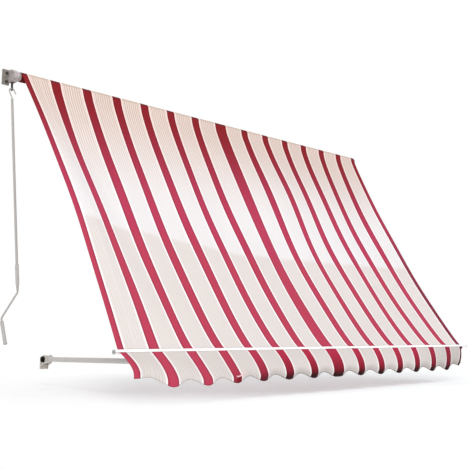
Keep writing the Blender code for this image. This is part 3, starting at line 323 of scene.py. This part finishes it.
class StripedCloth(Finish):
    """Woven acrylic: red stripes with a white border, and fine beige lines on cream between them.
    Light is painted into its colour: painted shade darkens the cloth on and near the roller, and a
    washed-out painted highlight pales the rest down to a soft line across the slope, below which the
    lower part is a little greyer."""

    def __init__(self, name):
        super().__init__(name, roughness=0.85)
        self.give("Specular IOR Level", 0.2)
        self.cut = self.add("ShaderNodeUVMap", {"uv_map": "cloth"})
        self.across, self.along, _ = self.axes(self.cut)
        self.apart = self.stripe_distance()
        self.red = self.within(RED_HALF)
        # Painted light: shade at the roller, a washed-out highlight lower, greyer past its edge
        self.washed_out_highlight = self.along.ramp(0.0, 0.70)
        shade_line = SHADE_LINE_AT_LEFT + SHADE_LINE_LOWER * self.across.ramp(0.25, 1.05)
        self.shaded = (self.along - shade_line).ramp(-0.004, 0.030)
        self.ground = self.dye_and_painted_light()

    def stripe_distance(self):
        """How far across the cloth a point lies from the middle of its nearest red stripe. The
        stripe with the seam is wider, and so are the halves that are left at the two selvedges."""
        middle = CLOTH_WIDTH / 2
        left = self.across.min(middle - SEAM_EXTRA / 2)
        right = self.across.max(middle + SEAM_EXTRA / 2) - SEAM_EXTRA
        apart = (left + right - (middle - SEAM_EXTRA / 2)).off_line(STRIPE_PITCH)
        from_left = self.across - (LEFT_SELVEDGE - RED_HALF)
        from_right = (CLOTH_WIDTH - RIGHT_SELVEDGE + RED_HALF) - self.across
        return apart.min(from_left.max(0.0)).min(from_right.max(0.0))

    def within(self, reach):
        """1 as far as reach from the middle of a stripe, with an edge one yarn soft."""
        return 1.0 - self.apart.ramp(reach - YARN_PITCH / 2, reach + YARN_PITCH / 2)

    def with_painted_light(self, dye):
        """A dye with its painted light: painted shade at the roller, a washed-out painted highlight down the
        slope, and a greyer tone below that highlight.
        """
        shade_at_roller, washed_out_highlight, shaded = dye
        return self.mix(self.shaded, self.mix(self.washed_out_highlight, shade_at_roller, washed_out_highlight), shaded)

    def dye_and_painted_light(self):
        """The colour of every point of the cut, with its painted light and shade in it."""
        # Painted shade on the cloth on the roller
        roll_shade = 1.0 - self.along.ramp(-0.018, 0.006)
        crimson = self.mix(roll_shade, self.with_painted_light(CRIMSON), ROLL_SHADE_CRIMSON)
        crimson = self.mix(self.apart.ramp(0.014, RED_HALF) * 0.5, crimson, srgb(96, 10, 34))
        # Painted shade along the right selvedge, darker down the slope
        right_strip_shade = (self.across - CLOTH_WIDTH + 0.05).ramp(0.0, 0.01)
        crimson = self.mix(right_strip_shade * self.along.ramp(0.3, 1.1) * 0.7, crimson, srgb(92, 24, 44))
        cream = self.mix(roll_shade, self.with_painted_light(CREAM), ROLL_SHADE_CREAM)
        border = self.within(RED_HALF + BORDER)
        line = (STRIPE_PITCH / 2 - self.apart).off_line(PIN_PITCH)
        pin = (1.0 - line.ramp(0.0018, 0.0034)) * (1.0 - border)
        ground = self.mix(pin, cream, self.with_painted_light(PIN_LINES))
        ground = self.mix(border, ground, self.with_painted_light(WHITE_BORDER))
        return self.mix(self.red, ground, crimson)

    def weave(self):
        """Weave, stitching at the seam and along the selvedges' hems, and a slightly uneven dye."""
        patches = self.noise(3.0, 3.0)
        yarns = self.noise(1.0, 2.0, self.cut, (700.0, 30.0, 1.0))
        uneven = (patches - 0.5) * 0.30 + (yarns - 0.5) * 0.20 + 0.04
        darker = self.times(self.ground, (0.72, 0.70, 0.68))
        self.give("Base Color", self.mix(uneven, self.ground, darker))
        self.give("Roughness", 0.82 + 0.1 * yarns)
        warp = abs(self.across % YARN_PITCH - YARN_PITCH / 2) / (YARN_PITCH / 2)
        weft = abs(self.along % YARN_PITCH - YARN_PITCH / 2) / (YARN_PITCH / 2)
        off_seam = abs(abs(self.across - CLOTH_WIDTH / 2) - SEAM_ROWS)
        off_hem = abs(self.across.min(CLOTH_WIDTH - self.across) - HEM_ROW)
        stitched = 1.0 - off_seam.min(off_hem).ramp(0.0, 0.0022)
        self.bump((warp + weft) * 0.12 + yarns * 0.3 - stitched * 1.4, 0.0006, 0.5)


def canopy_finish():
    cloth = StripedCloth("striped_canopy_cloth")
    cloth.weave()
    return cloth.material


def valance_finish():
    """As the canopy, but in the shade of its own overhang: deeper red away from the gear end, and
    nearly black where the red lobes turn under."""
    cloth = StripedCloth("striped_valance_cloth")
    across, red, ground = cloth.across, cloth.red, cloth.ground
    down = (cloth.along - CANOPY_LENGTH) / VALANCE_LENGTH
    away = across.ramp(0.25, 0.95)
    far_end = across.ramp(1.75, 2.35)
    dim = cloth.times(ground, (0.68, 0.67, 0.66))
    ground = cloth.mix((0.32 + 0.60 * far_end) * (1.0 - red), ground, dim)
    deep_red = cloth.mix(down.ramp(0.1, 0.95), srgb(172, 38, 66), srgb(116, 6, 26))
    ground = cloth.mix(red * away, ground, deep_red)
    ground = cloth.mix(red * far_end * 0.45, ground, srgb(70, 16, 30))
    under = down.ramp(0.68, 0.95) * away
    ground = cloth.mix(under * red, ground, srgb(34, 1, 5))
    ground = cloth.mix(under * (1.0 - red) * 0.30, ground, srgb(120, 112, 106))
    # Painted shade: a thin dark line along the hem, darker away from the gear end
    hem = down.ramp(0.965, 0.99) * (0.25 + 0.5 * away)
    ground = cloth.mix(hem, ground, srgb(84, 66, 62))
    # Painted fold on the lobe of the fourth stripe: painted shade on its red below the fold line,
    # and a pale painted highlight as a crest above it; the sheet itself is not folded there
    painted_fold = 1.0 - abs(across - (LEFT_SELVEDGE + 3 * STRIPE_PITCH)).ramp(0.030, 0.036)
    ground = cloth.mix(painted_fold * red * (down - 0.83).ramp(-0.01, 0.01), ground, srgb(120, 10, 28))
    crest_highlight = painted_fold * (1.0 - abs(down - 0.815).ramp(0.010, 0.026))
    ground = cloth.mix(crest_highlight * 0.8, ground, srgb(244, 196, 200))
    # Painted shade on the turned-back right edge
    turned_edge_shade = (across - CLOTH_WIDTH + RIGHT_SELVEDGE).ramp(-0.002, 0.004)
    cloth.ground = cloth.mix(turned_edge_shade * 0.85, ground, srgb(58, 14, 28))
    cloth.weave()
    return cloth.material


def toned(colour, factor):
    """A colour made darker or lighter."""
    return tuple(min(1.0, value * factor) for value in colour[:3]) + (1.0,)


def coated(name, colour, roughness=0.42, mottle=0.12, shine=0.5):
    """Powder coat or moulded plastic: even colour with a fine orange-peel and slight scuffs."""
    coat = Finish(name, roughness)
    coat.give("Specular IOR Level", shine)
    peel = coat.noise(900.0, 2.0)
    scuff = coat.noise(22.0, 6.0)
    coat.give("Base Color", coat.mix(scuff.ramp(0.52, 0.78), toned(colour, 1 + mottle / 2),
                                     toned(colour, 1 - mottle)))
    coat.give("Roughness", roughness - 0.06 + 0.16 * scuff)
    coat.bump(peel, 0.00012, 0.35)
    return coat.material


def cast_metal(name, colour, roughness, metallic):
    """Die-cast or coarsely coated metal: a sandy skin with darker dirt in broad patches."""
    cast = Finish(name, roughness, metallic)
    sand = cast.noise(1400.0, 3.0)
    dirt = cast.noise(60.0, 5.0)
    cast.give("Base Color", cast.mix(dirt.ramp(0.45, 0.80), colour, toned(colour, 0.62)))
    cast.give("Roughness", roughness - 0.08 + 0.2 * dirt)
    cast.bump(sand, 0.0002, 0.5)
    return cast.material


def bright_metal(name, colour, roughness, metallic, along=(1.0, 1.0, 1.0)):
    """Drawn or plated metal, with fine lines along its length."""
    metal = Finish(name, roughness, metallic)
    lines = metal.noise(420.0, 3.0, stretch=along)
    stain = metal.noise(35.0, 4.0)
    metal.give("Base Color", metal.mix(stain.ramp(0.5, 0.8), colour, toned(colour, 0.72)))
    metal.give("Roughness", roughness - 0.08 + 0.2 * lines)
    metal.bump(lines, 0.0001, 0.3)
    return metal.material


CANOPY_CLOTH = canopy_finish()
VALANCE_CLOTH = valance_finish()
FINISHES = {
    "dark_coated_steel": cast_metal("dark_bracket_coat", srgb(133, 127, 119), 0.5, 0.2),
    "cast_metal": cast_metal("gear_casting", srgb(178, 168, 166), 0.5, 0.15),
    "black_steel": bright_metal("blackened_steel", srgb(48, 48, 48), 0.45, 0.5, (1.0, 1.0, 0.1)),
    "bright_steel": bright_metal("zinc_plated_steel", srgb(196, 192, 186), 0.35, 0.6),
    "bronze": bright_metal("oily_bronze", srgb(92, 84, 70), 0.5, 0.6),
    "grey_coated_steel": coated("bracket_grey_coat", srgb(196, 190, 180)),
    "grey_coated_aluminium": coated("arm_grey_coat", srgb(194, 190, 185), mottle=0.05),
    "white_coated_aluminium": coated("bar_white_coat", srgb(253, 251, 250), 0.35, mottle=0.03),
    "black_plastic": coated("black_moulding", srgb(20, 20, 20), 0.4, mottle=0.3),
    "grey_plastic": coated("grey_moulding", srgb(160, 160, 158), 0.5),
    "welt_cord": coated("white_welt", srgb(235, 235, 232), 0.6),
    "striped_cloth": CANOPY_CLOTH,
}
DARK_BOLT = bright_metal("dull_bolt_steel", srgb(70, 62, 56), 0.55, 0.4)
CAP_BLACK = coated("cap_black", srgb(3, 4, 3), 0.6, mottle=0.3, shine=0.12)
CRANK_COAT = coated("crank_grey_coat", srgb(174, 170, 166), 0.45, mottle=0.05)
GRIP_PLASTIC = coated("grip_pale_plastic", srgb(184, 182, 178), 0.5, mottle=0.05)


def dress_frame():
    """Give every node of the frame the finish of its slot, and the crank its paler coat."""
    slots = {part["node"]: part["material_slot"] for part in frame["record"]["subparts"]}
    for name, obj in nodes.items():
        finish = FINISHES[slots[name]]
        if name.startswith("crank_"):
            finish = CRANK_COAT
        if "grip" in name or name == "crank_ferrule":
            finish = GRIP_PLASTIC
        obj.data.materials.clear()
        obj.data.materials.append(finish)


def add_object(name, data):
    obj = bpy.data.objects.new(name, data)
    bpy.context.scene.collection.objects.link(obj)
    return obj


def sheet_mesh(name, columns, rows, place, material):
    """A grid of cloth: place gives each point and its place on the flat cut, in metres."""
    points, cut = [], []
    for j in range(rows + 1):
        for i in range(columns + 1):
            point, where = place(i / columns, j / rows)
            points.append(point)
            cut.append(where)
    step = columns + 1
    faces = [(j * step + i, (j + 1) * step + i, (j + 1) * step + i + 1, j * step + i + 1)
             for j in range(rows) for i in range(columns)]
    mesh = bpy.data.meshes.new(name)
    mesh.from_pydata(points, [], faces)
    layer = mesh.uv_layers.new(name="cloth")
    for loop in mesh.loops:
        layer.data[loop.index].uv = cut[loop.vertex_index]
    mesh.shade_smooth()
    mesh.materials.append(material)
    obj = add_object(name, mesh)
    thick = obj.modifiers.new("cloth_thickness", "SOLIDIFY")
    thick.thickness = CLOTH_THICK
    thick.offset = 0.0
    return obj


def smooth(value):
    """A soft step from 0 to 1."""
    value = min(1.0, max(0.0, value))
    return value * value * (3 - 2 * value)


def hump(value, middle, width):
    """1 at the middle, falling softly to 0 on both sides."""
    return math.exp(-((value - middle) / width) ** 2)


def round_roll(radius, angle):
    """A point at that radius and angle round the roller's axis, as (Y, Z)."""
    return ROLL + radius * Vector((math.cos(angle), math.sin(angle)))


def canopy_edges(down):
    """X of the two selvedges, which the slack cloth pulls in between the roller and the bar."""
    loose = max(0.0, math.sin(math.pi * down))
    left = CLOTH_LEFT + FOOT_INSET_LEFT * down + PULLED_IN_LEFT * loose
    right = CLOTH_LEFT + CLOTH_WIDTH - FOOT_INSET_RIGHT * down - PULLED_IN_RIGHT * loose ** 0.6
    return left, right


def canopy_lift(across, down):
    """How far the cloth stands out from the straight slope: it sags between its taut selvedges,
    less along a ridge past its middle."""
    loose = max(0.0, math.sin(math.pi * down))
    from_left = smooth((across - 0.05 * down) / (0.07 + 0.05 * down))
    from_right = smooth((1 - across) / 0.065)
    from_roll = min(1.0, down / 0.03) ** 0.3
    sag = (SAG_AT_LEFT - SAG_LESS_AT_RIGHT * across) * loose ** 0.7
    ridge = hump(across, 0.62, 0.14) * hump(down, 0.30, 0.20) * min(1.0, 5 * loose)
    lift = RIDGE_HEIGHT * ridge - sag * from_left * from_right * from_roll
    for height, sideways, downwards, phase in WAVES:
        turn = 2 * math.pi * (sideways * across + downwards * down) + phase
        lift += height * loose * math.sin(turn)
    return lift


def canopy_place(across, along):
    """A narrow strip lies on the roll; the rest hangs from the roll to the bar."""
    flat = CLOTH_WIDTH * across
    if along < WRAP_SHARE:
        left_over = 1 - along / WRAP_SHARE
        turn = left_over * WRAP_ANGLE
        spot = round_roll(LEAVE_RADIUS - WRAP_RISE * left_over, LEAVE_ANGLE - turn)
        return (CLOTH_LEFT + flat, spot.x, spot.y), (flat, -turn * LEAVE_RADIUS)
    down = (along - WRAP_SHARE) / (1 - WRAP_SHARE)
    left, right = canopy_edges(down)
    spot = LEAVE.lerp(FOOT, down) + OUTWARD * canopy_lift(across, down)
    return (left + (right - left) * across, spot.x, spot.y), (flat, CANOPY_LENGTH * down)


def roll_place(across, along):
    """Almost two and a half turns of cloth on the roller's tube, with slightly uneven edges."""
    flat = CLOTH_WIDTH * across
    to_go = TURNS * (1 - along)
    angle = LEAVE_ANGLE - 2 * math.pi * to_go
    last_turn_radius = LEAVE_RADIUS - 0.0010
    spot = round_roll(FIRST_TURN_RADIUS + (last_turn_radius - FIRST_TURN_RADIUS) * along, angle)
    x = CLOTH_LEFT + flat + 0.0008 * math.sin(3 * angle) * (2 * across - 1)
    return (x, spot.x, spot.y), (flat, -0.002 - TURN_LENGTH * to_go)


def valance_reach(across):
    """How far the hem is blown out from the bar: most near the gear end, and drawn back a little
    at the other."""
    swollen = sum(height * hump(across, middle, width) for height, middle, width in SWELLS)
    return swollen - DRAWN_BACK * smooth((across - 0.85) / 0.15)


def valance_place(across, along):
    """Out of the bar's front groove, then down to a scalloped hem whose lobes curl under."""
    flat = CLOTH_WIDTH * across
    past_seam = SEAM_EXTRA * smooth((flat - CLOTH_WIDTH / 2) / SEAM_EXTRA + 0.5)
    lobe = math.cos(2 * math.pi * (flat - past_seam) / STRIPE_PITCH)
    shorter = ENDS_SHORTER * (hump(across, 0.0, 0.035) + 0.55 * hump(across, 1.0, 0.035))
    drop = DROP_AT_LEFT + DROP_MORE_AT_RIGHT * across - shorter
    drop *= 1 - SCALLOP_SHARE * (1 - lobe) / 2
    curl = smooth((along - 0.84) / 0.16) * (0.55 + 0.45 * lobe) * smooth((across - 0.12) / 0.12)
    fall = 0.78 * along + 0.22 * along * along
    # Its profile from the side: a round bulge, but nearly straight where it is blown out most
    arched = math.sin(math.pi / 2 * min(1.0, 1.12 * fall))
    ramped = 1.17 * fall if fall < 0.76 else 1.0 - 0.1108 * ((1 - fall) / 0.24) ** 2.4
    straight = 0.95 * hump(across, 0.185, 0.10)
    blown = valance_reach(across)
    out = blown * (arched + (ramped - arched) * straight)
    out += 0.010 * (1 - blown / MOST_BLOWN) * math.sin(math.pi * along)
    out += LOBES_OUT * (lobe - 0.35) * along * along - CURL_UNDER * curl
    out -= EDGE_TURNED_BACK * smooth((across - 0.990) / 0.010) * smooth(along / 0.3)
    left, right = canopy_edges(1.0)
    point = (left + (right - left) * across, FRONT_GROOVE.x - out,
             FRONT_GROOVE.y - drop * fall + CURL_UP * curl)
    return point, (flat, CANOPY_LENGTH + along * VALANCE_LENGTH)


def make_cloth():
    """The canopy, the cloth on the roller and the valance."""
    canopy = sheet_mesh("canopy_cloth", 280, 130, canopy_place, CANOPY_CLOTH)
    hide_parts("canopy")
    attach(canopy, "wall_side")
    roll = sheet_mesh("roll_cloth", 60, 120, roll_place, CANOPY_CLOTH)
    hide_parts("fabric_roll")
    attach(roll, "roller")
    valance = sheet_mesh("valance_cloth", 420, 28, valance_place, VALANCE_CLOTH)
    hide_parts("valance")
    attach(valance, "front_bar")
    return canopy


def turned(name, profile, place, toward, finish, steps=32, flat=False):
    """A piece turned from a profile of (radius, height) about an axis through place. Six steps
    with flat faces make it hexagonal."""
    shape = bmesh.new()
    axis = Vector(toward).to_track_quat("Z", "Y").to_matrix()
    rings = []
    for radius, height in profile:
        ring = []
        for i in range(steps if radius else 1):
            angle = 2 * math.pi * i / steps
            spot = Vector((radius * math.cos(angle), radius * math.sin(angle), height))
            ring.append(shape.verts.new(Vector(place) + axis @ spot))
        rings.append(ring)
    for lower, upper in zip(rings, rings[1:]):
        for i in range(steps):
            corners = [lower[i % len(lower)], lower[(i + 1) % len(lower)],
                       upper[(i + 1) % len(upper)], upper[i % len(upper)]]
            shape.faces.new(list(dict.fromkeys(corners)))
    bmesh.ops.recalc_face_normals(shape, faces=shape.faces)
    mesh = bpy.data.meshes.new(name)
    shape.to_mesh(mesh)
    shape.free()
    if not flat:
        mesh.shade_smooth()
    mesh.materials.append(finish)
    return add_object(name, mesh)


def wall_holes():
    """The eight holes of the four brackets: X, the plate's face, Z and the size of the bolt."""
    gear_low, gear_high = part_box("gear_wall_bracket")
    idle_low, idle_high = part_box("idle_wall_bracket")
    idle_x = idle_low.x + IDLE_HOLE_SHARE * (idle_high.x - idle_low.x)
    holes = {}
    for place, drop in ROLLER_PLATE_HOLES:
        holes[f"gear_{place}"] = (GEAR_HOLE_X, gear_low.y, gear_high.z - drop, 1.0)
        holes[f"idle_{place}"] = (idle_x, -IDLE_PLATE_THICK, idle_high.z - drop, 1.0)
    for side in ("left", "right"):
        low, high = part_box(f"arm_wall_bracket_{side}")
        for hand, place in ((-1, "outer"), (1, "inner")):
            x = (low.x + high.x) / 2 + hand * ARM_HOLE_OUT
            holes[f"arm_{side}_{place}"] = (x, -ARM_PLATE_THICK, low.z + ARM_HOLE_RISE,
                                            ARM_BOLT_SIZE)
    return holes


def hang_on_wall():
    """A washer and a hexagonal head in each hole of the four brackets."""
    for name, (x, face, z, size) in wall_holes().items():
        finish, slot = FINISHES["bright_steel"], "bright_steel"
        if size == 1.0:
            finish, slot = DARK_BOLT, "black_steel"
        for part, profile, steps in (("washer", WASHER, 24), ("head", HEAD, 6)):
            scaled = [(radius * size, height * size) for radius, height in profile]
            piece = turned(f"wall_bolt_{part}_{name}", scaled, (x, face - BOLT_SUNK, z),
                           (0, -1, 0), finish, steps, flat=True)
            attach(piece, "wall_side")


def dome_caps():
    """Soft round tops on the four pivot caps."""
    for side in ("left", "right"):
        for hand, toward in (("left", -1), ("right", 1)):
            node = f"pivot_cap_{side}_{hand}"
            low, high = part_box(node)
            radius = (high.z - low.z) / 2
            profile = [(0.0, 0.0), (radius, 0.0)]
            for angle in [math.radians(10 * i) for i in range(9)]:
                rise = (DOME_HEIGHT - DOME_RIM) * math.sin(angle)
                profile.append((radius * math.cos(angle), DOME_RIM + rise))
            profile.append((0.0, DOME_HEIGHT))
            foot = (high.x if toward < 0 else low.x, (low.y + high.y) / 2, (low.z + high.z) / 2)
            cap = turned(f"pivot_dome_{side}_{hand}", profile, foot, (toward, 0, 0), CAP_BLACK)
            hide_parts(node)
            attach(cap, "wall_side")


def fold_canopy(canopy):
    """Works out how far the bar moves when the arms fold and the canopy's length along that move,
    and gives the canopy a mesh of its own; nothing here shortens the canopy.
    """
    joints = {joint["name"]: joint for joint in frame["joints"]}
    fold = joints["arm_fold"]
    pivot = Vector(fold["pos_m"])
    front = Vector(joints["bar_pivot"]["pos_m"])
    turn = Matrix.Rotation(math.radians(fold["range_deg"][1]), 3, Vector(fold["axis"]))
    shift = pivot + turn @ (front - pivot) - front
    leave = Vector((0.0, LEAVE.x, LEAVE.y))
    foot = Vector((0.0, FOOT.x, FOOT.y))
    along = -shift.normalized()
    length = (foot - leave).dot(along)
    1 - shift.length / length
    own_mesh(canopy)


def add_area(name, place, target, size, power, colour=(1.0, 1.0, 1.0)):
    lamp = bpy.data.lights.new(name, "AREA")
    lamp.shape = "DISK"
    lamp.size = size
    lamp.energy = power
    lamp.color = colour
    obj = add_object(name, lamp)
    obj.location = place
    obj.rotation_euler = (Vector(target) - Vector(place)).to_track_quat("-Z", "Y").to_euler()


def hang_lamps():
    """A soft key from the front left, a cooler fill from the right, and a wide lamp behind, which
    throws the shadow on the floor forward."""
    add_area("key_light", (-2.4, -4.2, 2.2), (1.2, -0.4, -0.7), 2.6, 155.0, (1.0, 0.99, 0.98))
    add_area("fill_light", (4.0, -3.4, 0.6), (1.4, -0.3, -0.8), 3.0, 50.0, (0.95, 0.97, 1.0))
    add_area("back_light", (1.2, 1.8, 3.2), (1.2, -0.2, -0.6), 4.0, 40.0)


def light_world():
    """White for what is looked at, and a softer grey as light."""
    world = bpy.data.worlds.new("studio")
    bpy.context.scene.world = world
    world.use_nodes = True
    background = world.node_tree.nodes["Background"]
    output = world.node_tree.nodes["World Output"]
    studio = NodeTree(world.node_tree)
    studio.feed(background.inputs["Color"], (0.93, 0.96, 1.0, 1.0))
    studio.feed(background.inputs["Strength"], 0.52)
    white = studio.add("ShaderNodeBackground", inputs={"Color": WHITE})
    light = Signal(studio, background.outputs[0])
    either = studio.add("ShaderNodeMixShader", inputs={0: studio.looked_at(), 1: light, 2: white})
    studio.feed(output.inputs["Surface"], either)


def lay_floor():
    """A pale floor under the awning, which fades into the white background outside an ellipse,
    and sooner on the near side."""
    bpy.ops.mesh.primitive_plane_add(size=FLOOR_SIZE, location=FLOOR_MIDDLE)
    floor = bpy.context.object
    floor.name = "floor"
    paint = Finish("pale_floor", 0.9)
    paint.give("Base Color", (0.92, 0.94, 0.945, 1.0))
    paint.give("Emission Color", WHITE)
    paint.give("Emission Strength", 0.15)
    x, y, _ = paint.axes(paint.place())
    before = (-0.544 * x - 0.839 * y).ramp(0.20, 1.00)
    x = x / FLOOR_STRETCH
    far = (x * x + y * y).root().ramp(0.5, 1.3).max(before)
    glow = paint.add("ShaderNodeEmission", inputs={"Color": WHITE, "Strength": 1.0})
    shaded = Signal(paint, paint.shader.outputs[0])
    either = paint.add("ShaderNodeMixShader",
                       inputs={0: far * paint.looked_at(), 1: shaded, 2: glow})
    paint.feed(paint.tree.nodes["Material Output"].inputs["Surface"], either)
    floor.data.materials.append(paint.material)


def set_camera():
    """The camera that was fitted to the photograph."""
    yaw, pitch, roll = CAMERA_YAW, CAMERA_PITCH, CAMERA_ROLL
    level = Vector((math.cos(yaw), -math.sin(yaw), 0.0))
    ahead = Vector((math.sin(yaw), math.cos(yaw), 0.0))
    up = Vector((0.0, 0.0, 1.0))
    forward = ahead * math.cos(pitch) + up * math.sin(pitch)
    above = up * math.cos(pitch) - ahead * math.sin(pitch)
    right = level * math.cos(roll) + above * math.sin(roll)
    top = above * math.cos(roll) - level * math.sin(roll)
    data = bpy.data.cameras.new("camera")
    data.lens = CAMERA_LENS
    data.sensor_width = CAMERA_SENSOR
    data.sensor_fit = "HORIZONTAL"
    camera = add_object("camera", data)
    turn = Matrix((right, top, -forward)).transposed().to_4x4()
    camera.matrix_world = Matrix.Translation(CAMERA_SPOT) @ turn
    bpy.context.scene.camera = camera


dress_frame()
fold_canopy(make_cloth())
hang_on_wall()
dome_caps()
set_camera()
light_world()
lay_floor()
hang_lamps()

bpy.context.scene.view_settings.view_transform = "Standard"
